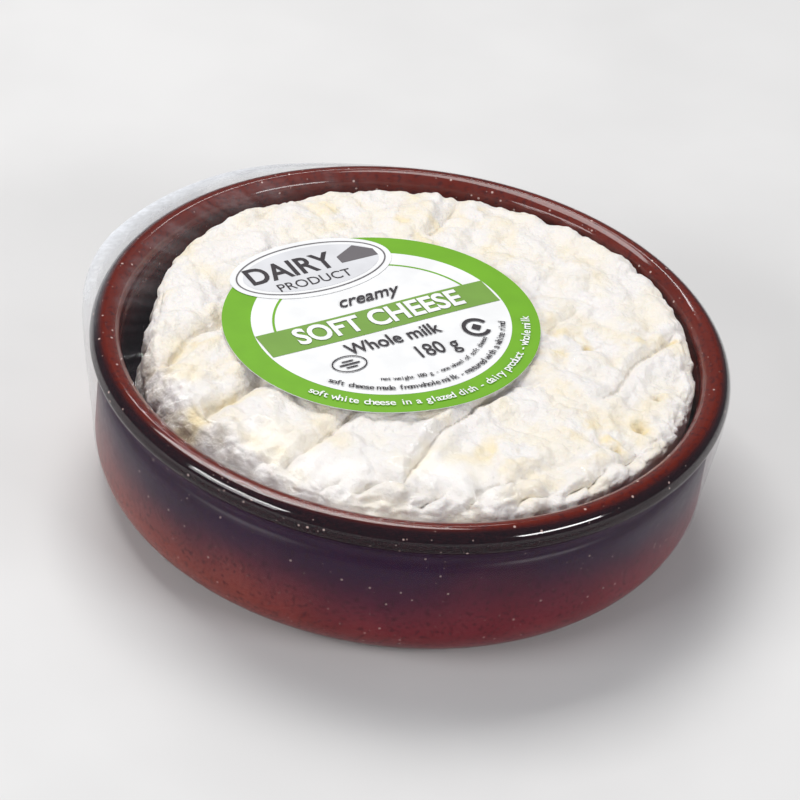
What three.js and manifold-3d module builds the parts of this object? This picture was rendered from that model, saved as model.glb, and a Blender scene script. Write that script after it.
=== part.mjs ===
// A soft bloomy-rind cheese wheel in its round glazed earthenware dish, sealed in clear stretch film
// with a paper label on top. Millimetres, +Z up; the origin is the centre of the underside.
import * as THREE from "three";
import { mergeVertices } from "three/addons/utils/BufferGeometryUtils.js";
import Module from "manifold-3d";

const wasm = await Module();
wasm.setup();

// ---- driving dimensions ----
const DISH = {
  rimRadius: 60, // outermost radius, at the middle of the rolled rim
  height: 33.6, // from the flat base to the top of the rim
  overhang: 2, // how far the rim stands out past the belly of the wall
  wall: 4.2,
  floor: 5.6,
  beadRadius: 2.8, // half the thickness of the rolled rim
  footWidth: 12.5, // how far the rounded foot draws in under the belly
  footHeight: 10.5,
};
const CHEESE = {
  thickness: 27,
  sideGap: 2.6, // average room between the wheel and the dish wall
  lean: 0.7, // the wheel sits this far off the dish's axis
  shoulder: 6, // rounding of its top edge
  heel: 9, // rounding of its bottom edge, inside the dish's own rounded corner
  unevenness: 0.9, // how far the outline wanders in and out
};
const FILM = {
  thickness: 0.3,
  tuck: 22, // radius of the gathered opening under the base
};
const LABEL = {
  thickness: 0.3,
  centre: [-6, 0.5],
  halfLength: 30.5,
  halfWidth: 28,
  turn: 35, // degrees from +X to the line that its print runs along
  plateCentre: [-20.8, 15.1], // the oval name plate that stands out past the round part
  plateHalfLength: 17,
  plateHalfWidth: 8.8,
};
const GAP = 0.3; // clearance between pieces that touch
const SEGMENTS = 60; // around every round piece

// ---- heights and radii that follow from them ----
const BASE_Z = FILM.thickness + GAP;
const RIM_CENTRE = {
  r: DISH.rimRadius - DISH.beadRadius,
  z: BASE_Z + DISH.height - DISH.beadRadius,
};
const BELLY_R = DISH.rimRadius - DISH.overhang;
const NECK_R = BELLY_R - 0.9;
const INNER_R = BELLY_R - DISH.wall;
const FLOOR_Z = BASE_Z + DISH.floor;
const CHEESE_R = INNER_R - CHEESE.sideGap - CHEESE.lean;
const CHEESE_Z = FLOOR_Z + GAP;
const CHEESE_TOP = CHEESE_Z + CHEESE.thickness;
const FILM_TOP = Math.max(CHEESE_TOP, BASE_Z + DISH.height) + GAP + FILM.thickness;

const point = (r, z) => new THREE.Vector2(r, z);

// Points on an elliptical arc, from angle a to angle b in degrees.
function arc(cr, cz, radiusR, radiusZ, a, b, steps) {
  return Array.from({ length: steps + 1 }, (_, i) => {
    const t = THREE.MathUtils.degToRad(a + ((b - a) * i) / steps);
    return point(cr + radiusR * Math.cos(t), cz + radiusZ * Math.sin(t));
  });
}

// Turns a profile (first and last points on the axis, or closed) about +Z.
function turned(profile) {
  return new THREE.LatheGeometry(profile, SEGMENTS).rotateX(Math.PI / 2);
}

// The outer line of the dish from its foot to the outside of the rim, moved out by a clearance.
function outerLine(offset) {
  return [
    ...arc(
      BELLY_R - DISH.footWidth,
      BASE_Z + DISH.footHeight,
      DISH.footWidth + offset,
      DISH.footHeight + offset,
      -90,
      0,
      8,
    ),
    point(BELLY_R - 0.2 + offset, BASE_Z + 0.6 * DISH.height),
  ];
}

function dishGeometry() {
  const innerFoot = { r: 0.8 * DISH.footWidth, z: 0.9 * DISH.footHeight };
  const profile = [
    point(0, BASE_Z),
    ...outerLine(0),
    point(NECK_R, RIM_CENTRE.z - 1.6 * DISH.beadRadius),
    point(NECK_R + 0.1, RIM_CENTRE.z - 1.25 * DISH.beadRadius),
    ...arc(RIM_CENTRE.r, RIM_CENTRE.z, DISH.beadRadius, DISH.beadRadius, -62, 194, 14),
    point(INNER_R + 0.2, RIM_CENTRE.z - DISH.beadRadius),
    ...arc(
      INNER_R - innerFoot.r,
      FLOOR_Z + innerFoot.z,
      innerFoot.r,
      innerFoot.z,
      0,
      -90,
      6,
    ),
    point(0, FLOOR_Z),
  ];
  return turned(profile);
}

// The wheel: rounded top and bottom edges, with an outline that wanders a little.
function cheeseGeometry() {
  const profile = [
    point(0, CHEESE_Z),
    ...arc(
      CHEESE_R - CHEESE.heel,
      CHEESE_Z + CHEESE.heel,
      CHEESE.heel,
      CHEESE.heel,
      -90,
      0,
      4,
    ),
    ...arc(
      CHEESE_R - CHEESE.shoulder,
      CHEESE_TOP - CHEESE.shoulder,
      CHEESE.shoulder,
      CHEESE.shoulder,
      0,
      90,
      4,
    ),
    point(0, CHEESE_TOP),
  ];
  const geometry = turned(profile);
  const position = geometry.getAttribute("position");
  for (let i = 0; i < position.count; i++) {
    const [x, y] = [position.getX(i), position.getY(i)];
    const angle = Math.atan2(y, x);
    const wander = 0.6 * Math.sin(3 * angle + 0.4) + 0.4 * Math.cos(7 * angle);
    const share = (Math.hypot(x, y) / CHEESE_R) ** 4;
    const grow = 1 + (CHEESE.unevenness * wander * share) / CHEESE_R;
    position.setXY(i, x * grow, y * grow);
  }
  return geometry;
}

// Clear film: flat over the wheel, down to the rim, round it, down the wall and tucked under the base.
function filmGeometry() {
  const skin = (offset) => [
    point(0, FILM_TOP - FILM.thickness + offset - GAP),
    point(CHEESE_R - 0.5 * CHEESE.shoulder, FILM_TOP - FILM.thickness + offset - GAP),
    ...arc(
      RIM_CENTRE.r,
      RIM_CENTRE.z,
      DISH.beadRadius + offset,
      DISH.beadRadius + offset,
      90,
      -20,
      6,
    ),
    ...outerLine(offset).reverse(),
    point(FILM.tuck, BASE_Z - offset),
  ];
  return turned([...skin(GAP), ...skin(GAP + FILM.thickness).reverse()]);
}

// A flat oval plate of the label, turned to the line that its print runs along.
function ovalPlate([x, y], halfLength, halfWidth) {
  const outline = new THREE.Shape();
  outline.absellipse(x, y, halfLength, halfWidth, 0, 2 * Math.PI, false, rad(LABEL.turn));
  return new THREE.ExtrudeGeometry(outline, {
    depth: LABEL.thickness,
    bevelEnabled: false,
    curveSegments: SEGMENTS,
  });
}

function rad(degrees) {
  return THREE.MathUtils.degToRad(degrees);
}

function solidOf(geometry) {
  const bare = new THREE.BufferGeometry()
    .setAttribute("position", geometry.getAttribute("position"))
    .setIndex(geometry.index);
  const merged = mergeVertices(bare, 1e-4);
  return new wasm.Manifold(
    new wasm.Mesh({
      numProp: 3,
      vertProperties: merged.attributes.position.array,
      triVerts: new Uint32Array(merged.index.array),
    }),
  );
}

function geometryOf(solid) {
  const mesh = solid.getMesh();
  return new THREE.BufferGeometry()
    .setAttribute("position", new THREE.BufferAttribute(mesh.vertProperties, 3))
    .setIndex(new THREE.BufferAttribute(mesh.triVerts, 1));
}

function labelGeometry() {
  const round = solidOf(ovalPlate(LABEL.centre, LABEL.halfLength, LABEL.halfWidth));
  const plate = solidOf(
    ovalPlate(LABEL.plateCentre, LABEL.plateHalfLength, LABEL.plateHalfWidth),
  );
  return geometryOf(round.add(plate));
}

function piece(name, geometry, look) {
  const mesh = new THREE.Mesh(geometry, new THREE.MeshStandardMaterial(look));
  mesh.name = name;
  return mesh;
}

const group = new THREE.Group();
group.add(
  piece("dish", dishGeometry(), { color: 0x5a2420, roughness: 0.2, metalness: 0 }),
);

const cheese = piece("cheese", cheeseGeometry(), {
  color: 0xf3ece0,
  roughness: 0.8,
  metalness: 0,
});
cheese.position.set(CHEESE.lean, 0, 0);
group.add(cheese);

group.add(
  piece("film", filmGeometry(), {
    color: 0xffffff,
    roughness: 0.05,
    metalness: 0,
    transparent: true,
    opacity: 0.2,
  }),
);

const label = piece("label", labelGeometry(), {
  color: 0x7cbf2a,
  roughness: 0.5,
  metalness: 0,
});
label.position.set(0, 0, FILM_TOP + GAP);
group.add(label);

export default group;
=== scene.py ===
"""A soft white-rinded cheese wheel in its glazed dish, under clear film with a paper label."""

import math

import bpy
import numpy as np
from mathutils import Matrix, Vector, geometry, noise


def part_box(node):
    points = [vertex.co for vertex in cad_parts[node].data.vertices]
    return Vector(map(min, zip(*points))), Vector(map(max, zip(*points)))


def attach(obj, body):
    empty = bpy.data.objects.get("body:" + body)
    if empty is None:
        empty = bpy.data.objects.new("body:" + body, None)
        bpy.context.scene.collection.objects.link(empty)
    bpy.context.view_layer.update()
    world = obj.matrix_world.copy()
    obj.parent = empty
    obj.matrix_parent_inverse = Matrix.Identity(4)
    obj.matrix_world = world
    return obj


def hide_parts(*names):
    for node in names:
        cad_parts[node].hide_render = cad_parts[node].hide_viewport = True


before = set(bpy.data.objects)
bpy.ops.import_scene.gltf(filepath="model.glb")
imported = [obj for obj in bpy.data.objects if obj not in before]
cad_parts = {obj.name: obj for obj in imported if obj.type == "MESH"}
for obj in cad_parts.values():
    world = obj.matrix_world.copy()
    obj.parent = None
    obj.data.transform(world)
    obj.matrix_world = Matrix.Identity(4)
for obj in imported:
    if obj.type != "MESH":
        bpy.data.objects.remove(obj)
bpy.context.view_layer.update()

MM = 0.001  # everything but the studio is in millimetres until it becomes a mesh
TAU = 2 * math.pi
# Points round each ring of the meshes.
DISH_COLUMNS = 320
WHEEL_COLUMNS = 760
FILM_COLUMNS = 480


def box_mm(node):
    """A CAD node's lowest and highest corners in millimetres."""
    low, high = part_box(node)
    return Vector(low) / MM, Vector(high) / MM


# ---- the dish, with the same dimensions as its CAD solid ----
DISH_LOW, DISH_HIGH = box_mm("dish")
RIM_R = (DISH_HIGH.x - DISH_LOW.x) / 2
BASE_Z = DISH_LOW.z
TOP_Z = DISH_HIGH.z
OVERHANG = 2.0  # how far the rim stands out past the belly of the wall
NECK_DEPTH = 0.9  # how far the neck under the rim draws in
WALL = 4.2
FLOOR = 5.6
BEAD = 2.8  # half the thickness of the rolled rim
FOOT_W = 12.5  # how far the rounded foot draws in under the belly
FOOT_H = 10.5
BEAD_R = RIM_R - BEAD
BEAD_Z = TOP_Z - BEAD
BELLY_R = RIM_R - OVERHANG
NECK_R = BELLY_R - NECK_DEPTH
INNER_R = BELLY_R - WALL
FLOOR_Z = BASE_Z + FLOOR
CORNER_W = 0.8 * FOOT_W  # the rounded corner between the inside wall and the floor
CORNER_H = 0.9 * FOOT_H

# ---- the wheel ----
CHEESE_LOW, CHEESE_HIGH = box_mm("cheese")
RIND_SIDE = 1.0  # how far the rind's plain outline stands out past the CAD solid's side
RIND_TOP = 0.7  # and past its top
CHEESE_R = (CHEESE_HIGH.y - CHEESE_LOW.y) / 2 + RIND_SIDE
CHEESE_X = (CHEESE_HIGH.x + CHEESE_LOW.x) / 2
CHEESE_Z = CHEESE_LOW.z
CHEESE_TOP = CHEESE_HIGH.z + RIND_TOP
SHOULDER = 3.4  # rounding of its top edge
HEEL = 9.0  # rounding of its bottom edge
WALL_GAP = 0.3  # least room between the rind and the dish's inside wall
FLOOR_GAP = 0.15  # and between the rind and the dish's floor
SLUMP = 2.4  # how far the flank has sagged outwards at the front left
SLUMP_FROM = (2.9, 3.6)  # the spans of angle, in radians, over which the sag begins and ends
SLUMP_TO = (4.9, 5.6)
# Bulges in the wheel's outline: the angle in radians, the width and how far each stands out.
BULGES = [(5.8, 0.45, 1.3), (0.8, 0.35, 0.9), (0.98, 0.07, 1.2)]
# Creases in the rind: the points that each runs through, its depth, its width and how yellow it is.
CREASES = [
    ([(-47, -20), (-42, -12), (-37, -5), (-34, 0)], 2.7, 2.2, 1.0),
    ([(-38, -35), (-32, -28), (-28, -21), (-24, -16)], 2.8, 2.4, 1.0),
    ([(-21, -47), (-16, -38), (-10, -29), (-6, -22)], 1.7, 1.3, 0.4),
    ([(-1, -48), (4, -39), (8, -29), (13, -20), (20, -10)], 1.6, 1.0, 0.25),
    ([(24, 5), (28, 12), (31, 17)], 0.9, 1.2, 0.3),
    ([(34, -14), (40, -5), (44, 3), (48, 10), (52, 15)], 1.5, 0.9, 0.35),
    ([(0, 33), (4, 42), (7, 51)], 1.6, 1.9, 0.6),
    ([(-46, 22), (-39, 25), (-33, 31), (-28, 42)], 1.0, 2.0, 0.2),
    ([(20, 50), (25, 44), (33, 43), (38, 36)], 1.1, 1.4, 0.5),
    ([(14, -51), (15, -43), (22, -38), (30, -33)], 1.5, 1.2, 0.3),
    ([(-8, -50), (-3, -44), (3, -46), (12, -47)], 2.1, 1.2, 0.1),
    ([(5, -52), (7, -48), (10, -45)], 1.8, 1.0, 0.1),
    ([(-14, -51), (-12, -47), (-8, -45)], 1.4, 1.0, 0.1),
    ([(22, -48), (24, -44), (29, -42)], 1.6, 1.1, 0.3),
    ([(-26, -46), (-23, -42), (-19, -41)], 1.3, 1.1, 0.2),
    ([(30, -44), (33, -39), (36, -38)], 1.4, 1.0, 0.3),
    ([(-33, -43), (-27, -38), (-20, -38)], 1.2, 1.3, 0.2),
    ([(34, -41), (37, -33), (45, -27)], 1.3, 1.2, 0.4),
]
# Small open pits: x, y and radius.
PITS = [
    (46.5, -10, 1.1),
    (43, -19, 1.4),
    (49, 9, 0.9),
    (39, -27, 1.0),
    (33, 3, 0.7),
    (-37, -33, 1.6),
]
# Patches where the rind is thin and its yellow paste shows: x, y and radius.
PATCHES = [
    (-20, 40, 7),
    (-3, 36, 8),
    (28, 3, 7),
    (36, -24, 8),
    (9, 45, 5),
    (-39, -9, 5),
    (-30, -25, 4),
    (18, -33, 6),
    (41, 8, 5),
]

# ---- the film ----
CLEARANCE = 0.15  # how far it lies off what it covers
TUCK = 22.0  # radius of its opening under the base
LOOSE = 4.2  # how far the film stands off the rim where it is slack, behind and to the left
LOOSE_AT = math.radians(146)
LOOSE_WIDTH = math.radians(52)

# ---- the label ----
TURN = math.radians(35)  # the line that its print runs along
LABEL_AT = (-6.0, 0.5)
LABEL_HALF = (30.5, 28.0)  # half its length and half its width
RING = 5.4  # width of its green border
PLATE_AT = (-20.8, 15.1)
PLATE_HALF = (17.0, 8.8)
PLATE_EDGE = (2.6, 2.2)  # width of its white edge, along and across
BAND_WIDTH = 7.0
BAND_ABOVE = 1.0  # how far its middle is above the label's
PAPER = 0.12  # the paper's thickness
SETTLE = 60  # rounds of smoothing, so that the paper bridges the rind's small bumps
LIFT = 0.3  # how far the paper lies above the smoothed film
PRESS = 0.15  # how far the film is pressed down below the paper
LAYER = 0.035  # each layer of print stands this far above the one below
# Generic small print: round the green border, and in two lines inside it.
PLAIN_WORDS = "soft white cheese in a glazed dish - dairy product - whole milk"
MADE = "soft cheese made from whole milk - matured with a white rind"
WEIGHT = "net weight 180 g - one wheel of soft cheese"

# ---- linear colours ----
CLAY = (0.40, 0.17, 0.09)
BRICK = (0.23, 0.047, 0.034)
CRIMSON = (0.19, 0.021, 0.029)
NIGHT = (0.022, 0.009, 0.032)
BLACK = (0.006, 0.003, 0.006)
RUST = (0.125, 0.013, 0.006)
PLUM = (0.070, 0.034, 0.058)
IVORY = (0.78, 0.755, 0.735)
CREAM = (0.80, 0.745, 0.63)
PASTE = (0.80, 0.67, 0.38)
PAINTED_SHADE_MAUVE = (0.64, 0.58, 0.59)
GREEN = (0.15, 0.39, 0.008)
OLIVE = (0.17, 0.33, 0.05)
WHITE = (0.82, 0.83, 0.84)
INK = (0.03, 0.025, 0.03)
SLATE = (0.13, 0.12, 0.13)
PLATE_GREY = (0.66, 0.67, 0.70)
GLAZE_MOTTLE = (0.16, 0.03, 0.035)
GLAZE_CLOUD = (0.55, 0.45, 0.5)
GLAZE_FLECK = (0.02, 0.006, 0.01)
GLAZE_SPECK = (0.62, 0.46, 0.42)
RIND_CHALK = (0.80, 0.77, 0.73)
PAINTED_HOLLOW_SHADE = (0.40, 0.31, 0.24)
FILM_MILK = (0.90, 0.94, 1.0)


# ================================ small helpers ================================


def smoothstep(low, high, value):
    """A soft ramp from 0 at low to 1 at high."""
    t = np.clip((value - low) / (high - low), 0, 1)
    return t * t * (3 - 2 * t)


def between(rise, fall, value):
    """1 between two spans of value, 0 outside them, with a soft ramp over each."""
    return smoothstep(*rise, value) * (1 - smoothstep(*fall, value))


def arc(r, z, half_r, half_z, start, stop, steps):
    """Points on an elliptical arc between two angles in degrees."""
    angles = np.radians(np.linspace(start, stop, steps + 1))
    return np.stack([r + half_r * np.cos(angles), z + half_z * np.sin(angles)], 1)


def through(points, steps):
    """A smooth line through the points (Catmull-Rom)."""
    p = np.array([points[0], *points, points[-1]], float)
    pieces = []
    for a, b, c, d in zip(p, p[1:], p[2:], p[3:]):
        t = np.linspace(0, 1, steps, endpoint=False)[:, None]
        pieces.append(
            0.5 * (2 * b + (c - a) * t + (2 * a - 5 * b + 4 * c - d) * t**2)
            + 0.5 * (3 * b - a - 3 * c + d) * t**3
        )
    return np.concatenate([*pieces, p[-1:]])


def noise_at(points, size, seed):
    """Smooth noise from -1 to 1 whose bumps are about size across."""
    shift = np.array([seed * 17.3, seed * -9.1, seed * 5.7])
    flat = (points.reshape(-1, 3) / size + shift).tolist()
    return np.array([noise.noise(p) for p in flat]).reshape(points.shape[:-1])


def ridges_at(points, size, seed):
    """Noise from 0 to 1 that peaks in thin ridges."""
    return 1 - np.minimum(1, 2.2 * np.abs(noise_at(points, size, seed)))


def cracks_at(points, size, seed):
    """1 along the borders between irregular cells about size across, 0 inside them."""
    shift = np.array([seed * 3.3, seed * 7.9, seed * -4.1])
    flat = (points.reshape(-1, 3) / size + shift).tolist()
    nearest = np.array([noise.voronoi(p)[0][:2] for p in flat])
    gaps = nearest[:, 1] - nearest[:, 0]
    return np.exp(-((gaps / 0.14) ** 2)).reshape(points.shape[:-1])


def new_object(name, vertices, faces, material, smooth=True):
    """A mesh object from places in millimetres."""
    mesh = bpy.data.meshes.new(name)
    mesh.from_pydata((np.asarray(vertices) * MM).tolist(), [], faces)
    mesh.polygons.foreach_set("use_smooth", [smooth] * len(mesh.polygons))
    mesh.materials.append(material)
    obj = bpy.data.objects.new(name, mesh)
    bpy.context.scene.collection.objects.link(obj)
    return obj


def piece(obj, slot, *nodes):
    """Puts a piece on the object's one body and hides the CAD parts that it takes the place of."""
    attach(obj, "root")
    if nodes:
        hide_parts(*nodes)
    return obj


def ring_faces(rows, columns):
    """Quads between rows of a closed ring grid, facing out when the rows climb the outside."""
    i, j = np.meshgrid(np.arange(rows - 1), np.arange(columns), indexing="ij")
    k = (j + 1) % columns
    a, b = i * columns + j, i * columns + k
    quads = np.stack([a, b, b + columns, a + columns], -1)
    return quads.reshape(-1, 4).tolist()


def turned(name, grid, material, bottom=None, top=None):
    """A mesh from rings of points, closed at each end by a point on the axis where one is given."""
    rows, columns = grid.shape[:2]
    vertices = grid.reshape(-1, 3).tolist()
    faces = ring_faces(rows, columns)
    for pole, first, flip in ((bottom, 0, True), (top, (rows - 1) * columns, False)):
        if pole is None:
            continue
        centre = len(vertices)
        vertices.append(list(pole))
        for j in range(columns):
            pair = [first + j, first + (j + 1) % columns]
            faces.append([*(pair[::-1] if flip else pair), centre])
    return new_object(name, vertices, faces, material)


def paint(obj, name, values):
    """Stores RGBA values for the vertices; a pole takes the value of the ring next to it."""
    attribute = obj.data.color_attributes.new(name, "FLOAT_COLOR", "POINT")
    flat = values.reshape(-1, 4)
    poles = len(obj.data.vertices) - len(flat)
    flat = np.concatenate([flat, flat[[0, -1]][2 - poles :]])
    attribute.data.foreach_set("color", flat.astype(np.float32).ravel())


# ================================ materials ================================


class Shader:
    """A material with one Principled shader and short calls to add nodes."""

    def __init__(self, name, roughness=0.5, **sockets):
        self.material = bpy.data.materials.new(name)
        self.material.use_nodes = True
        self.nodes = self.material.node_tree.nodes
        self.links = self.material.node_tree.links
        self.main = self.nodes["Principled BSDF"]
        self.main.inputs["Roughness"].default_value = roughness
        for socket, value in sockets.items():
            self.main.inputs[socket.replace("_", " ")].default_value = value
        self.place = self.add("ShaderNodeTexCoord").outputs["Object"]

    def add(self, kind, **settings):
        node = self.nodes.new(kind)
        for key, value in settings.items():
            setattr(node, key, value)
        return node

    def join(self, source, socket):
        self.links.new(source, socket)

    def attribute(self, name):
        return self.add("ShaderNodeAttribute", attribute_name=name).outputs

    def split(self, colour):
        node = self.add("ShaderNodeSeparateColor")
        self.join(colour, node.inputs[0])
        return node.outputs

    def noise(self, size_mm, detail=3, stretch=None, kind="FBM"):
        """Noise whose bumps are about size_mm across, stretched along the axes where asked."""
        node = self.add("ShaderNodeTexNoise", noise_type=kind)
        node.inputs["Scale"].default_value = 1 / (size_mm * MM)
        node.inputs["Detail"].default_value = detail
        place = self.place
        if stretch:
            mapping = self.add("ShaderNodeMapping")
            mapping.inputs["Scale"].default_value = stretch
            self.join(place, mapping.inputs["Vector"])
            place = mapping.outputs[0]
        self.join(place, node.inputs["Vector"])
        return node.outputs["Fac"]

    def ramp(self, source, low, high, to_low=0.0, to_high=1.0):
        node = self.add("ShaderNodeMapRange", interpolation_type="SMOOTHSTEP")
        for socket, value in zip((1, 2, 3, 4), (low, high, to_low, to_high)):
            node.inputs[socket].default_value = value
        self.join(source, node.inputs[0])
        return node.outputs[0]

    def math(self, operation, a, b):
        node = self.add("ShaderNodeMath", operation=operation)
        for socket, value in zip(node.inputs, (a, b)):
            if isinstance(value, (int, float)):
                socket.default_value = value
            else:
                self.join(value, socket)
        return node.outputs[0]

    def mix(self, share, a, b, blend="MIX"):
        node = self.add("ShaderNodeMix", data_type="RGBA", blend_type=blend)
        for socket, value in zip((0, 6, 7), (share, a, b)):
            if isinstance(value, tuple):
                node.inputs[socket].default_value = (*value, 1)
            elif isinstance(value, (int, float)):
                node.inputs[socket].default_value = value
            else:
                self.join(value, node.inputs[socket])
        return node.outputs[2]

    def bump(self, height, depth_mm, strength=1.0, before=None):
        node = self.add("ShaderNodeBump")
        node.inputs["Strength"].default_value = strength
        node.inputs["Distance"].default_value = depth_mm * MM
        self.join(height, node.inputs["Height"])
        if before:
            self.join(before, node.inputs["Normal"])
        return node.outputs[0]

    def specks(self, spacing_mm, radius_mm, share):
        """1 inside small round specks, one in each of that share of cells spacing_mm apart."""
        cells = self.add("ShaderNodeTexVoronoi")
        cells.inputs["Scale"].default_value = 1 / (spacing_mm * MM)
        self.join(self.place, cells.inputs["Vector"])
        size = radius_mm / spacing_mm
        dot = self.ramp(cells.outputs["Distance"], size * 0.6, size, 1, 0)
        chosen = self.math("LESS_THAN", self.split(cells.outputs["Color"])[0], share)
        return self.math("MULTIPLY", dot, chosen)


def glaze_material():
    """Glossy glaze over red clay: colour by place, mottled, with pale specks and pinholes."""
    s = Shader("dish_glaze", Specular_IOR_Level=0.16, Coat_Roughness=0.035)
    base = s.attribute("glaze")
    mottle = s.noise(0.4, 4)
    cloud = s.noise(14, 3)
    colour = s.mix(s.ramp(mottle, 0.35, 0.7, 0, 0.12), base["Color"], GLAZE_MOTTLE)
    colour = s.mix(s.ramp(cloud, 0.4, 0.7, 0, 0.3), colour, GLAZE_CLOUD, "MULTIPLY")
    flecks = s.ramp(s.noise(0.8, 6), 0.48, 0.7, 0, 0.55)
    colour = s.mix(flecks, colour, GLAZE_FLECK)
    coarse = s.specks(2.3, 0.29, 0.65)
    fine = s.specks(1.5, 0.15, 0.5)
    dots = s.math("MAXIMUM", coarse, s.math("MULTIPLY", fine, 0.6))
    dots = s.math("MULTIPLY", dots, base["Alpha"])
    colour = s.mix(dots, colour, GLAZE_SPECK)
    s.join(colour, s.main.inputs["Base Color"])
    gloss = s.split(s.attribute("gloss")["Color"])
    rough = s.math("ADD", gloss[0], s.ramp(s.noise(1.6), 0.3, 0.8, -0.02, 0.04))
    s.join(rough, s.main.inputs["Roughness"])
    s.join(gloss[1], s.main.inputs["Coat Weight"])
    waves = s.bump(s.noise(13, 2), 0.2, 0.2)
    grain = s.bump(s.noise(0.8, 2), 0.01, 0.15, waves)
    s.join(s.bump(coarse, 0.1, -0.4, grain), s.main.inputs["Normal"])
    s.join(s.bump(s.noise(9, 2), 0.12, 0.15), s.main.inputs["Coat Normal"])
    return s.material


def rind_material():
    """Soft white bloom over pale yellow paste, with painted shade: mauve-grey down the sides and
    brown-grey in the hollows.
    """
    s = Shader(
        "cheese_rind",
        roughness=0.72,
        Subsurface_Weight=0.12,
        Subsurface_Radius=(1.0, 0.62, 0.35),
        Subsurface_Scale=1.3 * MM,
        Sheen_Weight=0.08,
    )
    tint = s.split(s.attribute("rind")["Color"])
    bloom = s.noise(3.2, 6)
    thin = s.math("MULTIPLY", tint[0], s.ramp(bloom, 0.36, 0.6, 0.35, 1))
    cream = s.mix(s.ramp(s.noise(8, 5), 0.44, 0.64, 0, 0.7), IVORY, CREAM)
    cream = s.mix(s.ramp(s.noise(1.5, 5), 0.45, 0.75, 0, 0.5), cream, RIND_CHALK)
    colour = s.mix(thin, cream, PASTE)
    # Painted shade: mauve-grey down the sides and on the front-left flank.
    colour = s.mix(s.math("MULTIPLY", tint[1], 0.65), colour, PAINTED_SHADE_MAUVE)
    # Painted shade: brown-grey darkening the creases, cracks, folds and ruffles.
    colour = s.mix(s.math("MULTIPLY", tint[2], 0.24), colour, PAINTED_HOLLOW_SHADE)
    s.join(colour, s.main.inputs["Base Color"])
    skin = s.bump(s.noise(2.6, 6, kind="RIDGED_MULTIFRACTAL"), 0.22, 0.5)
    crumb = s.bump(s.noise(1.0, 6), 0.55, 0.75, skin)
    fluff = s.bump(s.noise(0.3, 3), 0.09, 0.7, crumb)
    s.join(fluff, s.main.inputs["Normal"])
    return s.material


def film_material():
    """Clear stretch film: see-through, with reflections by angle, a milky haze in its folds, and the
    same milky haze on the left and right of the wall as a painted sheen.
    """
    s = Shader("clear_film", roughness=0.35)
    s.main.inputs["Base Color"].default_value = (*FILM_MILK, 1)
    clear = s.add("ShaderNodeBsdfTransparent")
    shine = s.add("ShaderNodeBsdfGlossy")
    shine.inputs["Roughness"].default_value = 0.07
    fresnel = s.add("ShaderNodeFresnel")
    fresnel.inputs["IOR"].default_value = 1.38
    glass = s.add("ShaderNodeMixShader")
    s.join(s.math("MULTIPLY", fresnel.outputs[0], 0.22), glass.inputs[0])
    s.join(clear.outputs[0], glass.inputs[1])
    s.join(shine.outputs[0], glass.inputs[2])
    haze = s.split(s.attribute("haze")["Color"])
    streaks = s.ramp(s.noise(1.3, 4, (1, 1, 0.3)), 0.35, 0.7, 0.5, 1)
    haze = s.math("ADD", haze[0], s.math("MULTIPLY", haze[1], streaks))
    whole = s.add("ShaderNodeMixShader")
    s.join(haze, whole.inputs[0])
    s.join(glass.outputs[0], whole.inputs[1])
    s.join(s.main.outputs[0], whole.inputs[2])
    s.join(whole.outputs[0], s.nodes["Material Output"].inputs["Surface"])
    ripple = s.bump(s.noise(6, 2), 0.05, 0.2)
    for socket in (shine.inputs["Normal"], fresnel.inputs["Normal"]):
        s.join(ripple, socket)
    return s.material


def print_material(name, colour, roughness=0.5):
    """Coated paper carrying one colour of ink, a little uneven, over a fine fibre grain."""
    s = Shader(name, roughness=roughness, Specular_IOR_Level=0.3)
    dark = tuple(0.86 * c for c in colour)
    tone = s.mix(s.ramp(s.noise(6, 4), 0.3, 0.7, 0, 0.6), colour, dark)
    s.join(tone, s.main.inputs["Base Color"])
    s.join(s.bump(s.noise(0.35, 3), 0.012, 0.35), s.main.inputs["Normal"])
    return s.material


def floor_material():
    """Plain pale paper, a little cloudy."""
    s = Shader("floor_paper", roughness=0.8)
    tone = s.mix(s.ramp(s.noise(60, 3), 0.3, 0.7), (0.66, 0.66, 0.66), (0.70, 0.70, 0.70))
    s.join(tone, s.main.inputs["Base Color"])
    return s.material


# ================================ the dish ================================


def wall_line():
    """The outside of the dish, from the edge of its flat base up to the neck."""
    foot = arc(BELLY_R - FOOT_W, BASE_Z + FOOT_H, FOOT_W, FOOT_H, -90, 0, 26)
    neck = through(
        [
            (BELLY_R, BASE_Z + FOOT_H),
            (BELLY_R - 0.05, BASE_Z + FOOT_H + 6),
            (BELLY_R - 0.1, BASE_Z + FOOT_H + 11),
            (BELLY_R - 0.3, BASE_Z + FOOT_H + 12.7),
            (BELLY_R - 0.7, BASE_Z + FOOT_H + 13.6),
            (BELLY_R - 1.2, BASE_Z + FOOT_H + 14.4),
            (NECK_R - 0.4, BEAD_Z - 1.7 * BEAD),
            (NECK_R + 0.2, BEAD_Z - 1.15 * BEAD),
        ],
        8,
    )
    return np.concatenate([foot, neck[1:]])


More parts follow.
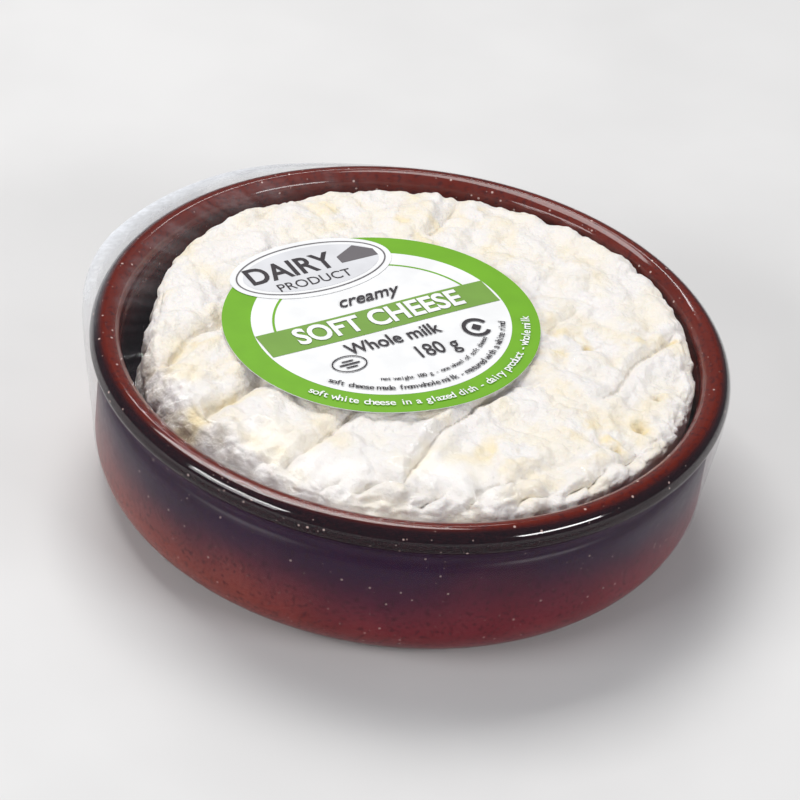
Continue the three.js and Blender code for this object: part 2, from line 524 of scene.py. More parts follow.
def dish_rings():
    """Each ring's radius and height, from the middle of the base round to the middle of the floor.

    The second value names the zone of the dish that each ring belongs to.
    """
    base_r = np.linspace(2, BELLY_R - FOOT_W, 56)
    marks = 0.07 * (1 - np.cos(1.7 * base_r)) * smoothstep(45, 40, base_r)
    base = np.stack([base_r, BASE_Z + marks], 1)
    bead = arc(BEAD_R, BEAD_Z, BEAD, BEAD, -58, 194, 44)
    upper = through(
        [
            (INNER_R + 0.5, BEAD_Z - 0.7 * BEAD),
            (INNER_R + 0.15, BEAD_Z - 1.3 * BEAD),
            (INNER_R, BEAD_Z - 3 * BEAD),
            (INNER_R, FLOOR_Z + CORNER_H),
        ],
        6,
    )
    floor_r = INNER_R - CORNER_W
    corner = arc(floor_r, FLOOR_Z + CORNER_H, CORNER_W, CORNER_H, 0, -90, 14)
    floor = np.stack([np.linspace(floor_r, 4, 10), np.full(10, FLOOR_Z)], 1)
    hollow = np.concatenate([upper, corner[1:], floor[1:]])
    zones = [("base", base[:-1]), ("wall", wall_line()), ("bead", bead), ("inside", hollow)]
    names = np.concatenate([[name] * len(line) for name, line in zones])
    return np.concatenate([line for _, line in zones]), names


def blend(start, stop, share):
    """Colours between two, for an array of shares."""
    return np.array(start) + (np.array(stop) - np.array(start)) * share[..., None]


def glaze_look(grid, rings, zone, angle):
    """The glaze's colour with how specked it is, and its roughness with its clear top coat."""
    # The borders between colours wander by this much.
    drift = 5.0 * noise_at(grid, 30, 3) + 1.2 * noise_at(grid, 7, 4)
    z = grid[..., 2]
    front = 0.5 - 0.5 * np.sin(angle)
    # The angle round the bead in degrees: 0 on its outside, 90 on its crest, 180 on its inside.
    turn = np.degrees(np.arctan2(rings[:, 1] - BEAD_Z, rings[:, 0] - BEAD_R)) % 360
    turn = np.where(turn > 300, turn - 360, turn)[:, None]
    start = 46 + 6 * front  # where the rust colour begins, a little further in at the front
    depth = smoothstep(BEAD_Z - 1, BEAD_Z - 13, z + 0.5 * drift)
    inward = smoothstep(start, start + 36, turn + 0.8 * drift)
    brick = blend(CRIMSON, BRICK, smoothstep(25, -45, grid[..., 0] + 3 * drift))
    climb = smoothstep(BASE_Z + 6, BASE_Z + 24, z + drift)[..., None]
    colours = {
        "base": blend(CLAY, CRIMSON, smoothstep(39, 43, rings[:, :1] + 0.6 * drift)),
        "wall": brick + (np.array(NIGHT) - brick) * climb,
        "bead": blend(BLACK, RUST, inward),
        "inside": blend(RUST, PLUM, depth),
    }
    specked = {"base": 0, "wall": 0.35, "bead": 0.8, "inside": 0.5}
    roughness = {"base": 0.6, "wall": 0.34, "bead": 0.1, "inside": 0.16}
    bead_coat = 0.02 + 0.93 * smoothstep(0, 26, turn) * (1 - 0.6 * inward)
    coat = {"base": 0, "wall": 0, "bead": bead_coat[zone == "bead"], "inside": 0.3}
    paints = np.ones((*z.shape, 4))
    finish = np.ones((*z.shape, 4))
    for name, colour in colours.items():
        rows = zone == name
        paints[rows, :, :3] = colour[rows]
        paints[rows, :, 3] = specked[name]
        finish[rows, :, 0] = roughness[name]
        finish[rows, :, 1] = coat[name]
    return paints, finish


def thrown(radius, height, angle):
    """Radii and heights with the slight unevenness of hand-thrown ware."""
    sway = 0.12 * np.sin(2 * angle + 0.6) + 0.07 * np.sin(5 * angle + 2)
    lift = 0.10 * np.sin(3 * angle + 1) * smoothstep(BASE_Z + 8, TOP_Z, height)
    return radius + sway * (radius / RIM_R) ** 4, height + lift


def build_dish():
    """The glazed dish, one closed mesh."""
    rings, zone = dish_rings()
    angle = np.linspace(0, TAU, DISH_COLUMNS, endpoint=False)
    radius, height = thrown(rings[:, :1], rings[:, 1:], angle)
    grid = np.stack([radius * np.cos(angle), radius * np.sin(angle), height], -1)
    poles = (0, 0, BASE_Z), (0, 0, FLOOR_Z)
    dish = turned("dish_glazed", grid, glaze_material(), *poles)
    paints, finish = glaze_look(grid, rings, zone, angle)
    paint(dish, "glaze", paints)
    paint(dish, "gloss", finish)
    return piece(dish, "glazed_earthenware", "dish")


# ================================ the wheel ================================


def line_distance(x, y, points):
    """Distance from (x, y) to a line of points, and how far along it the nearest place is (0 to 1)."""
    best = np.full(x.shape, 1e9)
    along = np.zeros(x.shape)
    count = len(points) - 1
    for n, ((ax, ay), (bx, by)) in enumerate(zip(points, points[1:])):
        dx, dy = bx - ax, by - ay
        t = np.clip(((x - ax) * dx + (y - ay) * dy) / (dx * dx + dy * dy), 0, 1)
        far = np.hypot(x - ax - t * dx, y - ay - t * dy)
        along = np.where(far < best, (n + t) / count, along)
        best = np.minimum(best, far)
    return best, along


def crease_depth(x, y):
    """How deep the creases and pits cut at (x, y), the lips beside them, and how yellow they are."""
    cut, lips, paste = (np.zeros(x.shape) for _ in range(3))
    for points, depth, width, yellow in CREASES:
        far, along = line_distance(x, y, points)
        fade = smoothstep(0, 0.12, along) * (1 - 0.8 * smoothstep(0.75, 1, along))
        groove = 0.5 * np.exp(-((far / width) ** 2)) + 0.5 * np.exp(-far / (0.3 * width))
        groove *= fade
        cut = np.maximum(cut, depth * groove)
        paste = np.maximum(paste, yellow * groove)
        lip = np.exp(-(((far - 2.3 * width) / (1.3 * width)) ** 2))
        lips = np.maximum(lips, 0.28 * depth * fade * lip)
    for px, py, radius in PITS:
        near = np.hypot(x - px, y - py) / radius
        cut = np.maximum(cut, 1.6 * np.exp(-(near**4)))
    return cut, lips, paste


def wheel_line():
    """The wheel's plain outline from the middle of its underside to the middle of its top."""
    side = CHEESE_R - HEEL
    lid = CHEESE_R - SHOULDER
    under = np.stack([np.linspace(6, side, 8), np.full(8, CHEESE_Z)], 1)
    heel = arc(side, CHEESE_Z + HEEL, HEEL, HEEL, -90, 0, 14)
    rise = np.stack(
        [np.full(26, CHEESE_R), np.linspace(CHEESE_Z + HEEL, CHEESE_TOP - SHOULDER, 26)], 1
    )
    edge = arc(lid, CHEESE_TOP - SHOULDER, SHOULDER, SHOULDER, 0, 90, 28)
    reach = np.concatenate([np.arange(lid, 18, -0.5)[1:], np.linspace(17, 2, 9)])
    lid_line = np.stack([reach, np.full(len(reach), CHEESE_TOP)], 1)
    return np.concatenate([under, heel[1:], rise[1:], edge[1:], lid_line])


def line_normals(line):
    """Unit normals of a line of (r, z) points, outward where it climbs the outside."""
    along = np.gradient(line, axis=0)
    along /= np.linalg.norm(along, axis=1, keepdims=True)
    return np.stack([along[:, 1], -along[:, 0]], 1)


def ruffles_at(bent):
    """Ridges from 0 to 1 that fan outwards from the middle of the wheel."""
    turn = np.arctan2(bent[..., 1], bent[..., 0])
    reach = np.hypot(bent[..., 0], bent[..., 1])
    return ridges_at(np.stack([10.5 * (turn % TAU), reach / 11, bent[..., 2] / 9], -1), 1, 16)


def folds_at(plain):
    """Folds that hang down the flank, large ones and small ones."""
    place = plain * np.array([1, 1, 0.38])
    return ridges_at(place, 6, 11) + 0.5 * ridges_at(place + 40, 3.2, 12)


def sag_at(plain, bent):
    """How far the flank has sagged outwards below the wheel's top edge."""
    turn = np.arctan2(bent[..., 1], bent[..., 0]) % TAU
    low = 1 - smoothstep(CHEESE_TOP - 7, CHEESE_TOP - 2.5, plain[..., 2])
    return SLUMP * between(SLUMP_FROM, SLUMP_TO, turn) * low


def wheel_relief(plain, up):
    """How far the rind stands out of the plain outline, its hollows, and the yellow in its creases."""
    warp = np.stack([noise_at(plain, 7, 21), noise_at(plain, 7, 22)], -1)
    bent = plain.copy()
    bent[..., :2] += 2.2 * warp
    x, y = np.moveaxis(plain[..., :2] + 1.3 * warp, -1, 0)
    cut, lips, paste = crease_depth(x, y)
    top = smoothstep(0.2, 0.8, up)
    side = 1 - top
    lumps = 0.8 * noise_at(plain, 15, 1) + 0.6 * noise_at(bent, 7.5, 2)
    cracks = cracks_at(bent, 12, 5) * (0.35 + 0.65 * top)
    crumple = ridges_at(bent, 6.5, 6)
    wrinkles = ridges_at(bent, 3.1, 9)
    # The rind is crumpled all round its border, and most of all towards the front.
    border = smoothstep(36, 47, np.hypot(plain[..., 0], plain[..., 1]))
    ragged = 0.2 + 0.8 * smoothstep(20, -20, plain[..., 1])
    crinkled = 1 - 0.5 * border * (1 - ragged)
    relief = 0.5 + lumps - 0.6 * cracks - crinkled * (0.55 * crumple + 0.3 * wrinkles)
    relief += 0.24 * noise_at(bent, 2.2, 7) + 0.17 * noise_at(plain, 1.1, 8)
    crumbs = 0.55 * noise_at(bent, 4.2, 13) - 0.35 * ridges_at(bent, 2.4, 14)
    relief += border * ragged * crumbs
    ruffles = border * ragged * ruffles_at(bent)
    relief -= 0.8 * ruffles
    relief += 0.7 * border * (1 - ragged) * noise_at(bent, 11, 15)
    folds = folds_at(plain)
    flank = side * (1 - smoothstep(CHEESE_TOP - 8, CHEESE_TOP - 1.5, plain[..., 2]))
    relief = relief * (0.75 + 0.25 * top) + flank * (0.5 - 0.9 * folds)
    relief += sag_at(plain, bent) * side
    relief += (lips - cut) * (0.35 + 0.65 * top)
    # hollow: how far each place lies down in a crease, crack, fold or ruffle; it sets where painted
    # shade darkens the rind.
    hollow = np.clip(cut / 2.4 + 0.3 * cracks + 0.25 * side * folds + 0.3 * ruffles, 0, 1)
    return relief, hollow, paste


def rind_tint(plain, hollow, paste, up):
    """Where the rind is yellow (red channel), where painted shade lays mauve-grey down the sides and
    on the front-left flank (green), and where painted shade darkens its hollows (blue).
    """
    x, y, z = plain[..., 0], plain[..., 1], plain[..., 2]
    yellow = 0.8 * paste * smoothstep(-0.6, 0.3, noise_at(plain, 9, 31))
    for px, py, radius in PATCHES:
        near = np.exp(-(((x - px) ** 2 + (y - py) ** 2) / radius**2))
        yellow = np.maximum(yellow, 0.75 * near * smoothstep(-0.15, 0.3, noise_at(plain, 4, 32)))
    for px, py, radius in PITS:
        near = np.exp(-((np.hypot(x - px, y - py) / (1.6 * radius)) ** 4))
        yellow = np.maximum(yellow, 0.95 * near)
    yellow = np.maximum(yellow, 0.35 * smoothstep(0.1, 0.4, noise_at(plain, 9, 33)))
    low = 1 - smoothstep(CHEESE_TOP - 11, CHEESE_TOP - 2, z + 2 * noise_at(plain, 6, 34))
    left = smoothstep(-10, -45, x) * smoothstep(5, -25, y) * (1 - smoothstep(0.75, 0.98, up))
    # Painted shade: a mauve-grey share down the lower sides and on the front-left flank, standing in
    # for the shadow there.
    grey = np.clip(0.35 * low + 0.2 * left, 0, 1) * (0.7 + 0.3 * noise_at(plain, 5, 35))
    # Painted shade in the hollows, darker lower down the sides.
    dark = np.clip(hollow * (0.35 + 0.65 * low), 0, 1)
    return np.stack([np.clip(yellow, 0, 1), np.clip(grey, 0, 1), dark, np.ones_like(dark)], -1)


def inner_wall_radius(z):
    """The dish's inside radius at height z."""
    drop = np.clip((FLOOR_Z + CORNER_H - z) / CORNER_H, 0, 1)
    return INNER_R - CORNER_W * (1 - np.sqrt(1 - drop**2))


def build_wheel():
    """Makes the wheel, and gives back the points of its rind, which the film lies on."""
    line = wheel_line()
    normal = line_normals(line)
    angle = np.linspace(0, TAU, WHEEL_COLUMNS, endpoint=False)
    cos, sin = np.cos(angle), np.sin(angle)
    wander = 0.45 * np.sin(3 * angle + 0.4) + 0.35 * np.cos(7 * angle) + 0.5 * cos
    for at, width, bulge in BULGES:
        wander += bulge * np.exp(-(((angle - at) / width) ** 2))
    radius = line[:, :1] + wander * (line[:, :1] / CHEESE_R) ** 4
    height = np.repeat(line[:, 1:], WHEEL_COLUMNS, 1)
    plain = np.stack([radius * cos, radius * sin, height], -1)
    plain[..., 0] += CHEESE_X
    up = np.repeat(normal[:, 1:], WHEEL_COLUMNS, 1)
    relief, hollow, paste = wheel_relief(plain, up)
    settle = smoothstep(CHEESE_Z + 4, CHEESE_Z + 14, height)
    out = np.stack([normal[:, :1] * cos, normal[:, :1] * sin, up], -1)
    grid = plain + out * (relief * settle)[..., None]
    reach = np.hypot(grid[..., 0], grid[..., 1])
    room = inner_wall_radius(grid[..., 2]) - WALL_GAP
    grid[..., :2] *= np.minimum(1, room / np.maximum(reach, 1e-6))[..., None]
    grid[..., 2] = np.maximum(grid[..., 2], FLOOR_Z + FLOOR_GAP)
    poles = (CHEESE_X, 0, CHEESE_Z), (CHEESE_X, 0, float(grid[-1, :, 2].mean()))
    wheel = turned("cheese_wheel", grid, rind_material(), *poles)
    paint(wheel, "rind", rind_tint(plain, hollow, paste, up))
    piece(wheel, "cheese_rind", "cheese")
    return grid


# ================================ the film ================================


def neighbour_mean(heights):
    """The mean of each grid point's four neighbours."""
    return sum(np.roll(heights, step, axis) for axis in (0, 1) for step in (1, -1)) / 4


class Blanket:
    """Heights of a sheet stretched over the wheel and the rim, on a square grid."""

    STEP = 0.8  # between points of the grid
    ROUNDS = 900  # enough for the sheet to come to rest

    def __init__(self, rind):
        half = int(math.ceil(RIM_R / self.STEP)) + 1
        self.origin = -half * self.STEP
        axis = self.origin + self.STEP * np.arange(2 * half + 1)
        x, y = np.meshgrid(axis, axis, indexing="ij")
        reach = np.hypot(x, y)
        crest = np.sqrt(np.clip(BEAD**2 - (reach - BEAD_R) ** 2, 0, None)) + BEAD_Z
        under = np.where(np.abs(reach - BEAD_R) < BEAD, crest, 0)
        points = rind.reshape(-1, 3)
        cell = np.rint((points[:, :2] - self.origin) / self.STEP).astype(int)
        np.maximum.at(under, (cell[:, 0], cell[:, 1]), points[:, 2])
        self.under = under + CLEARANCE
        self.fixed = reach >= BEAD_R
        self.height = self.stretched(TOP_Z + CLEARANCE)

    def stretched(self, edge):
        """A taut sheet, held at the rim's crest and pushed up by what lies under it."""
        heights = np.full(self.under.shape, edge)
        for _ in range(self.ROUNDS):
            free = np.maximum(neighbour_mean(heights), self.under)
            heights = np.where(self.fixed, edge, free)
        return heights

    def softened(self, rounds):
        """The same sheet with its small bumps smoothed away."""
        heights = self.height
        for _ in range(rounds):
            heights = neighbour_mean(heights)
        return heights

    def read(self, heights, x, y):
        """Heights at any places, between the grid's points."""
        u = (np.asarray(x) - self.origin) / self.STEP
        v = (np.asarray(y) - self.origin) / self.STEP
        i = np.clip(u.astype(int), 0, heights.shape[0] - 2)
        j = np.clip(v.astype(int), 0, heights.shape[1] - 2)
        s, t = u - i, v - j
        near = heights[i, j] * (1 - t) + heights[i, j + 1] * t
        far = heights[i + 1, j] * (1 - t) + heights[i + 1, j + 1] * t
        return near * (1 - s) + far * s


def film_side_line():
    """The film's taut line from the rim's crest down the outside and in under the base.

    Under the base it lies half way between the dish and what the dish stands on.
    """
    bead = arc(BEAD_R, BEAD_Z, BEAD + CLEARANCE, BEAD + CLEARANCE, 90, -8, 16)
    belly = np.array([BELLY_R + CLEARANCE, BASE_Z + FOOT_H])
    slope = np.linspace(bead[-1], belly, 22)
    foot = arc(
        BELLY_R - FOOT_W,
        BASE_Z + FOOT_H,
        FOOT_W + CLEARANCE,
        FOOT_H + CLEARANCE,
        0,
        -90,
        16,
    )
    tuck = np.stack([np.linspace(BELLY_R - FOOT_W, TUCK, 14), np.full(14, BASE_Z / 2)], 1)
    return np.concatenate([bead[1:], slope[1:], foot[1:], tuck[1:]])


def slackness(angle):
    """How loose the film is round the rim, from 0 to 1."""
    away = np.abs((angle - LOOSE_AT + math.pi) % TAU - math.pi)
    return 1 - smoothstep(0.25 * LOOSE_WIDTH, LOOSE_WIDTH, away)


def film_top(blanket, highest, angle):
    """Rings from the middle of the top out to the rim's crest, and their even and streaky haze."""
    cos, sin = np.cos(angle), np.sin(angle)
    reach = np.linspace(1.5, BEAD_R, 70)[:, None]
    x, y = reach * cos, reach * sin
    z = blanket.read(blanket.height, x, y)
    spokes = np.stack([cos * 9, sin * 9, np.zeros_like(cos)], -1)
    pull = np.abs(noise_at(spokes, 0.55, 41))
    near_rim = between((45, 53), (55, BEAD_R), reach)
    rim_lift = thrown(BEAD_R, TOP_Z, angle)[1] - TOP_Z
    z = z + near_rim * 0.22 * pull
    z = z + smoothstep(50, BEAD_R, reach) * rim_lift
    rings = np.stack([x, y, np.minimum(z, highest(x, y))], -1)
    even = 0.006 + 0.015 * near_rim * slackness(angle)
    streaky = 0.14 * near_rim * pull * (0.15 + slackness(angle))
    return rings, even, streaky


def film_fall(angle):
    """Rings from the rim's crest down the outside and under the base, and their haze."""
    cos, sin = np.cos(angle), np.sin(angle)
    side = film_side_line()
    t = np.linspace(0, 1, len(side))[:, None]
    slack = slackness(angle) * between((0, 0.14), (0.3, 0.78), t)
    # flanks: the left and right of the wall as seen, where the film ripples a little and a milky haze
    # is laid on as a painted sheen at grazing angles.
    flanks = between((0.16, 0.34), (0.62, 0.75), t) * cos**6  # the left and right of the wall
    shelf = 1 - smoothstep(0.1, 0.32, t)  # the part that stands off just under the rim
    lean = np.stack([cos * 30, sin * 30, np.zeros_like(cos)], -1)
    sweep = lean[None] + np.stack([12 * t, -9 * t, 16 * t], -1)
    ripple = np.abs(noise_at(sweep, 4.4, 42)) + 0.4 * np.abs(noise_at(sweep, 1.9, 43))
    pleat = noise_at(lean[None] + np.stack([6 * t, 5 * t, np.zeros_like(t)], -1), 1.1, 44)
    radius, height = thrown(side[:, :1], side[:, 1:], angle)
    radius = radius + LOOSE * slack * (1 + 0.1 * ripple) + 0.35 * flanks * ripple
    height = height + smoothstep(0.82, 0.9, t) * np.clip(0.5 * pleat, -0.24, 0.24)
    height = height - 0.3 * slack * ripple
    rings = np.stack([radius * cos, radius * sin, height], -1)
    # The flanks share of the haze here is a painted sheen.
    even = slack * (0.03 + 0.4 * shelf) + 0.08 * flanks
    streaky = slack * (0.08 + 0.4 * shelf) * (0.4 + ripple) + 0.09 * flanks * ripple
    streaky += smoothstep(0.72, 0.95, t) * (0.05 + 0.5 * smoothstep(0, 0.6, pleat))
    return rings, even, streaky


def build_film(blanket, highest):
    """The film, as one sheet whose rings climb from its opening under the base to its middle."""
    angle = np.linspace(0, TAU, FILM_COLUMNS, endpoint=False)
    parts = zip(film_top(blanket, highest, angle), film_fall(angle))
    grid, even, streaky = (np.concatenate(pair)[::-1] for pair in parts)
    haze = np.stack([even, streaky, np.zeros_like(even), np.ones_like(even)], -1)
    crown = (0, 0, float(grid[-1, :, 2].mean()))
    film = turned("clear_film", grid, film_material(), top=crown)
    paint(film, "haze", np.clip(haze, 0, 1))
    film.visible_diffuse = False  # so thin a film takes no light from what lies under it
    film.visible_shadow = False
    return piece(film, "clear_film", "film")


# ================================ the label ================================


def on_line(x, y, centre=LABEL_AT, turn=TURN):
    """Places given along and across the line of print from a centre, as x and y."""
    return (
        centre[0] + x * math.cos(turn) - y * math.sin(turn),
        centre[1] + x * math.sin(turn) + y * math.cos(turn),
    )


def oval(centre, half):
    """The points of an oval whose length runs along the line of print."""
    angle = np.linspace(0, TAU, 160, endpoint=False)
    return np.stack(on_line(half[0] * np.cos(angle), half[1] * np.sin(angle), centre), 1)


def inside(points, outline):
    """Which points lie inside a closed outline."""
    hit = np.zeros(len(points), bool)
    x, y = points[:, 0], points[:, 1]
    for (ax, ay), (bx, by) in zip(outline, np.roll(outline, -1, 0)):
        if ay == by:
            continue
        crosses = (ay > y) != (by > y)
        hit ^= crosses & (x < (bx - ax) * (y - ay) / (by - ay) + ax)
    return hit


def filled(outline):
    """Triangles that fill an outline, small enough to follow the label's bends."""
    spacing = 1.3
    low, high = outline.min(0), outline.max(0)
    axes = [np.arange(low[k] + spacing / 2, high[k], spacing) for k in (0, 1)]
    lattice = np.stack(np.meshgrid(*axes), -1).reshape(-1, 2)
    core = outline.mean(0) + (outline - outline.mean(0)) * 0.985
    extra = lattice[inside(lattice, core)]
    points = [Vector(p) for p in np.concatenate([outline, extra]).tolist()]
    loop = list(range(len(outline)))
    edges = list(zip(loop, loop[1:] + loop[:1]))
    vertices, _, faces, *_ = geometry.delaunay_2d_cdt(points, edges, [], 1, 1e-5)
    return np.array([tuple(v) for v in vertices]), [list(f) for f in faces]


def lettering(text, size, at, turn=TURN, slant=0.0, squeeze=1.0, weight=0.012):
    """Flat faces of a line of generic text, centred at a place."""
    curve = bpy.data.curves.new("text", "FONT")
    curve.body = text
    curve.size = size
    curve.shear = slant
    curve.offset = weight * size
    curve.align_x = "CENTER"
    curve.align_y = "CENTER"
    curve.resolution_u = 4
    holder = bpy.data.objects.new("text", curve)
    mesh = bpy.data.meshes.new_from_object(holder)
    along, across = np.array([(v.co.x * squeeze, v.co.y) for v in mesh.vertices]).T
    faces = [list(p.vertices) for p in mesh.polygons]
    bpy.data.objects.remove(holder)
    bpy.data.curves.remove(curve)
    bpy.data.meshes.remove(mesh)
    return np.stack(on_line(along, across, at, turn), 1), faces


def bar(at, length, width, turn=TURN):
    """A plain rectangle."""
    corners = [(-1, -1), (1, -1), (1, 1), (-1, 1)]
    points = [on_line(a * length / 2, b * width / 2, at, turn) for a, b in corners]
    return np.array(points), [[0, 1, 2, 3]]


def hoop(centre, half, width, start=0, stop=360, steps=72):
    """A thin oval band, or a stretch of one between two angles in degrees."""
    angle = np.radians(np.linspace(start, stop, steps + 1))
    rows = []
    for grow in (-width / 2, width / 2):
        x, y = (half[0] + grow) * np.cos(angle), (half[1] + grow) * np.sin(angle)
        rows.append(np.stack(on_line(x, y, centre), 1))
    count = steps + 1
    faces = [[i, i + count, i + count + 1, i + 1] for i in range(steps)]
    return np.concatenate(rows), faces


def print_round(text, inset, size, start, stop):
    """Small generic print that runs round the label's edge, between two angles in degrees."""
    half = [h - inset for h in LABEL_HALF]
    parts = []
    for angle, letter in zip(np.radians(np.linspace(start, stop, len(text))), text):
        if letter == " ":
            continue
        x, y = half[0] * math.cos(angle), half[1] * math.sin(angle)
        heading = math.atan2(half[1] * math.cos(angle), -half[0] * math.sin(angle))
        parts.append(lettering(letter, size, on_line(x, y), TURN + heading))
    return parts


def joined(parts):
    """Several shapes as one."""
    vertices, faces = [], []
    for points, polygons in parts:
        start = len(vertices)
        vertices += points.tolist()
        faces += [[start + i for i in f] for f in polygons]
    return np.array(vertices), faces


def wedge(at, size):
    """A plain outline of a wedge of cheese."""
    outline = [(-1, -0.55), (1, -0.55), (1, 0.0), (0.2, 0.62), (-1, 0.0)]
    points = np.array([on_line(size * x, size * y, at) for x, y in outline])
    return points, [[0, 1, 2, 3, 4]]


def refined(outline):
    """The same outline with points about a millimetre apart along its straight sides."""
    points = []
    for a, b in zip(outline, np.roll(outline, -1, 0)):
        steps = max(1, int(np.linalg.norm(b - a)))
        points += [a + (b - a) * k / steps for k in range(steps)]
    return np.array(points)


def dark_print():
    """The dark words, a plain stamp, and an open ring round a square."""
    stamp_at = on_line(-12.5, -9.5)
    seal_at = on_line(15.5, -8.5)
    return [
        lettering("Whole milk", 4.6, on_line(-1.0, -5.8), squeeze=0.9),
        lettering("180 g", 5.2, on_line(5.0, -11.4), squeeze=0.82, weight=0.006),
        lettering("creamy", 4.6, on_line(1.0, 8.0), slant=0.5, squeeze=0.95),
        lettering("DAIRY", 7.2, on_line(-4.2, 0.9, PLATE_AT), squeeze=0.9, weight=0.02),
        lettering("PRODUCT", 3.4, on_line(-1.5, -4.1, PLATE_AT), weight=0),
        hoop(stamp_at, (3.4, 2.3), 0.28),
        bar(on_line(0, 0.8, stamp_at), 2.4, 0.35),
        bar(on_line(0, -0.1, stamp_at), 4.2, 0.4),
        bar(on_line(0, -1.0, stamp_at), 2.4, 0.35),
        hoop(seal_at, (2.4, 2.4), 0.8, start=20, stop=320, steps=40),
        bar(seal_at, 1.6, 1.6, TURN + 0.8),
        *print_round(MADE, RING + 1.9, 2.0, 218, 334),
        *print_round(WEIGHT, RING + 4.7, 1.5, 243, 318),
    ]


def label_layers():
    """Every layer of the label: name, colour, level above the paper, and its shapes."""
    inner_half = [h - RING for h in LABEL_HALF]
    rise = BAND_WIDTH / 2
    reach = 0.99 * inner_half[0] * math.sqrt(1 - (rise / inner_half[1]) ** 2)
    band = [(-reach, -rise), (reach, -rise), (reach, rise), (-reach, rise)]
    band = np.array([on_line(x, y + BAND_ABOVE) for x, y in band])
    plate = oval(PLATE_AT, PLATE_HALF)
    plate_core = oval(PLATE_AT, [h - edge for h, edge in zip(PLATE_HALF, PLATE_EDGE)])
    grey = [
        wedge(on_line(10.3, 1.4, PLATE_AT), 4.0),
        hoop(PLATE_AT, [h - PLATE_EDGE[0] / 2 for h in PLATE_HALF], 0.3),
    ]
    pale = [
        lettering("SOFT CHEESE", 6.6, on_line(0, BAND_ABOVE), squeeze=0.9, weight=0.03),
        *print_round(PLAIN_WORDS, RING / 2, 2.4, 214, 338),
    ]
    arch = [hoop(LABEL_AT, [h - 4.2 for h in inner_half], 0.45, start=10, stop=168)]
    return [
        ("label_green_border", GREEN, 1, filled(oval(LABEL_AT, LABEL_HALF))),
        ("label_white_field", WHITE, 2, filled(oval(LABEL_AT, inner_half))),
        ("label_green_arc", GREEN, 3, joined(arch)),
        ("label_green_band", OLIVE, 4, filled(refined(band))),
        ("label_plate_white", WHITE, 5, filled(plate)),
        ("label_plate_grey", PLATE_GREY, 6, filled(plate_core)),
        ("label_plate_mark", SLATE, 7, joined(grey)),
        ("label_dark_print", INK, 8, joined(dark_print())),
        ("label_white_print", WHITE, 8, joined(pale)),
    ]


def label_outline():
    """The round label with its oval plate standing out past the edge."""
    round_edge = oval(LABEL_AT, LABEL_HALF)
    plate_edge = oval(PLATE_AT, PLATE_HALF)
    kept = np.concatenate(
        [round_edge[~inside(round_edge, plate_edge)], plate_edge[~inside(plate_edge, round_edge)]]
    )
    middle = kept - np.array(LABEL_AT)
    return kept[np.argsort(np.arctan2(middle[:, 1], middle[:, 0]))]


def build_label(surface):
    """The paper, bent to the heights that surface(x, y) gives, and each colour of its print."""
    points, faces = filled(label_outline())
    vertices = np.column_stack([points, surface(points[:, 0], points[:, 1])])
    paper = new_object("label_paper", vertices, faces, print_material("paper_stock", WHITE))
    solid = paper.modifiers.new("thickness", "SOLIDIFY")
    solid.thickness = PAPER * MM
    solid.offset = -1
    piece(paper, "label_paper", "label")
    for name, colour, level, (points, faces) in label_layers():
        height = surface(points[:, 0], points[:, 1]) + LAYER * level
        vertices = np.column_stack([points, height])
        layer = new_object(name, vertices, faces, print_material(name, colour), smooth=False)
        piece(layer, "label_paper")


# ================================ the studio, in metres ================================

ELEVATION = math.radians(36.15)
ROLL = math.radians(7.47)
DISTANCE = 0.56186
AIM_HEIGHT = 0.030  # above the dish's base
OFF_CENTRE = (0.002083, 0.009718)  # how far right of and above the view's centre the aim point is
FLOOR_HALF = 6.0  # half the side of the floor


def add_camera():
    """A long lens that looks down at the dish from the front, rolled a little."""
    back = Vector((0, -math.cos(ELEVATION), math.sin(ELEVATION)))
    level_right = Vector((1, 0, 0))
    level_up = back.cross(level_right)
    right = level_right * math.cos(ROLL) + level_up * math.sin(ROLL)
    up = -level_right * math.sin(ROLL) + level_up * math.cos(ROLL)
    aim = Vector((0, 0, BASE_Z * MM + AIM_HEIGHT))
    place = aim + back * DISTANCE - right * OFF_CENTRE[0] - up * OFF_CENTRE[1]
    data = bpy.data.cameras.new("camera")
    data.lens = 135
    data.sensor_width = 36
    camera = bpy.data.objects.new("camera", data)
    turn = Matrix((right, up, back)).transposed().to_4x4()
    camera.matrix_world = Matrix.Translation(place) @ turn
    bpy.context.scene.collection.objects.link(camera)
    bpy.context.scene.camera = camera


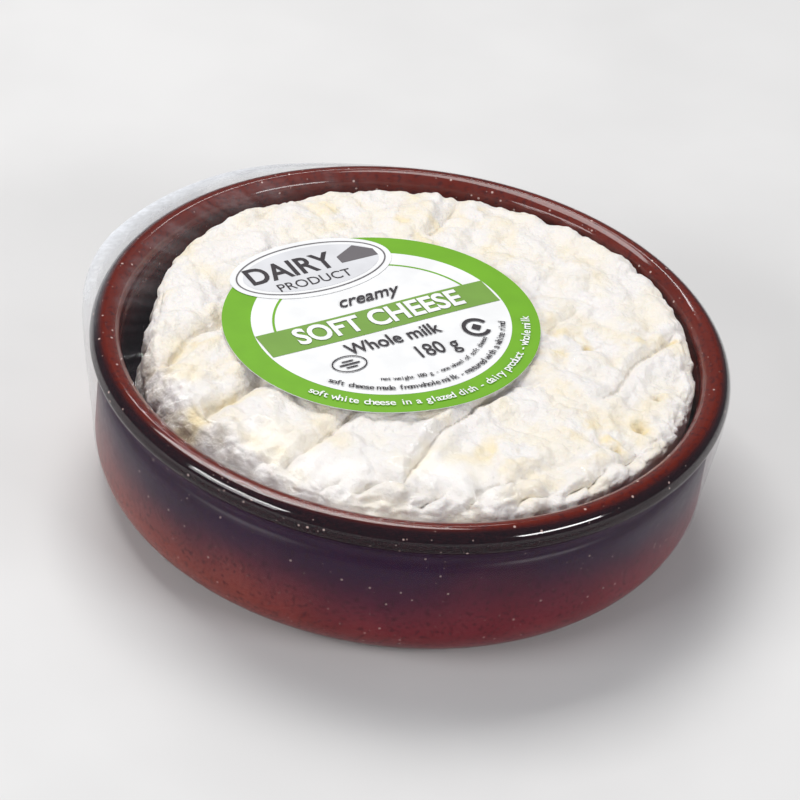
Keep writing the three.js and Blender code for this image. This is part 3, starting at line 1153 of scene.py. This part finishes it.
def add_softbox(name, place, size, watts, tint=(1, 1, 1)):
    """A rectangular lamp that faces the dish."""
    data = bpy.data.lights.new(name, "AREA")
    data.shape = "RECTANGLE"
    data.size, data.size_y = size
    data.energy = watts
    data.color = tint
    lamp = bpy.data.objects.new(name, data)
    lamp.location = place
    towards = Vector((0, 0, AIM_HEIGHT)) - Vector(place)
    lamp.rotation_euler = towards.to_track_quat("-Z", "Y").to_euler()
    bpy.context.scene.collection.objects.link(lamp)


def add_studio():
    """A dim sky, five soft lamps and the floor."""
    world = bpy.data.worlds.new("studio")
    world.use_nodes = True
    sky = world.node_tree.nodes["Background"]
    sky.inputs["Color"].default_value = (0.9, 0.93, 1.0, 1)
    sky.inputs["Strength"].default_value = 0.19
    bpy.context.scene.world = world
    add_softbox("top_box", (-0.16, 0.27, 0.72), (0.50, 0.36), 4.6, (1.0, 0.98, 0.96))
    add_softbox("left_box", (-0.52, -0.41, 0.42), (0.44, 0.12), 2.1)
    add_softbox("left_strip", (-0.54, -0.43, 0.27), (0.40, 0.03), 0.7)
    add_softbox("right_box", (0.55, -0.34, 0.35), (0.34, 0.09), 1.9)
    add_softbox("back_strip", (-0.10, 0.66, 0.66), (0.36, 0.025), 0.6)
    corners = FLOOR_HALF * np.array([(-1, -1, 0), (1, -1, 0), (1, 1, 0), (-1, 1, 0)])
    floor = new_object("floor", corners / MM, [[0, 1, 2, 3]], floor_material())
    bpy.context.scene.view_settings.view_transform = "Standard"


def build_wrapping(rind):
    """The film, stretched over the rind and the rim, and the label that lies on it."""
    blanket = Blanket(rind)
    bridged = blanket.softened(SETTLE)

    def paper_height(x, y):
        return blanket.read(bridged, x, y) + LIFT

    def highest(x, y):
        """The film lies below the label's paper, and is free elsewhere."""
        places = np.stack([x.ravel(), y.ravel()], 1)
        covered = inside(places, label_outline()).reshape(x.shape)
        return np.where(covered, paper_height(x, y) - PRESS, np.inf)

    build_film(blanket, highest)
    build_label(paper_height)


add_camera()
add_studio()
build_dish()
build_wrapping(build_wheel())
